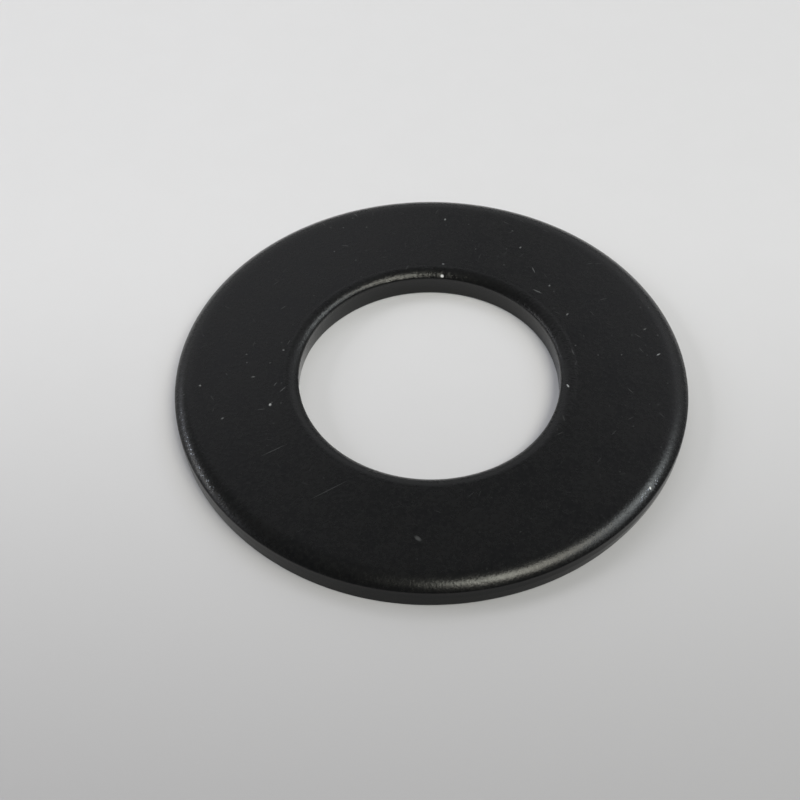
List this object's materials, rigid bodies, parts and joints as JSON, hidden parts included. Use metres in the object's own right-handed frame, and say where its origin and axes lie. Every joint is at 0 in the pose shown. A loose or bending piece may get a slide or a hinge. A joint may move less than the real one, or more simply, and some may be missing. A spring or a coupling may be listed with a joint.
{
  "type": "flat washer",
  "caption": "Flat round steel washer with a black coating, rolled upper edges and a plain clearance hole, for use under a bolt head or nut.",
  "frame": {"origin": "middle of the hole at the underside, which is the face the washer lies on", "axes": "+Z along the axis of the hole, towards the side with the rolled edges"},
  "size_m": [0.0234, 0.0234, 0.0013],
  "materials": {
    "black_coating": "satin black coating on stamped steel, finely grained"
  },
  "bodies": {
    "root": {"washer": "black_coating"}
  },
  "joints": []
}
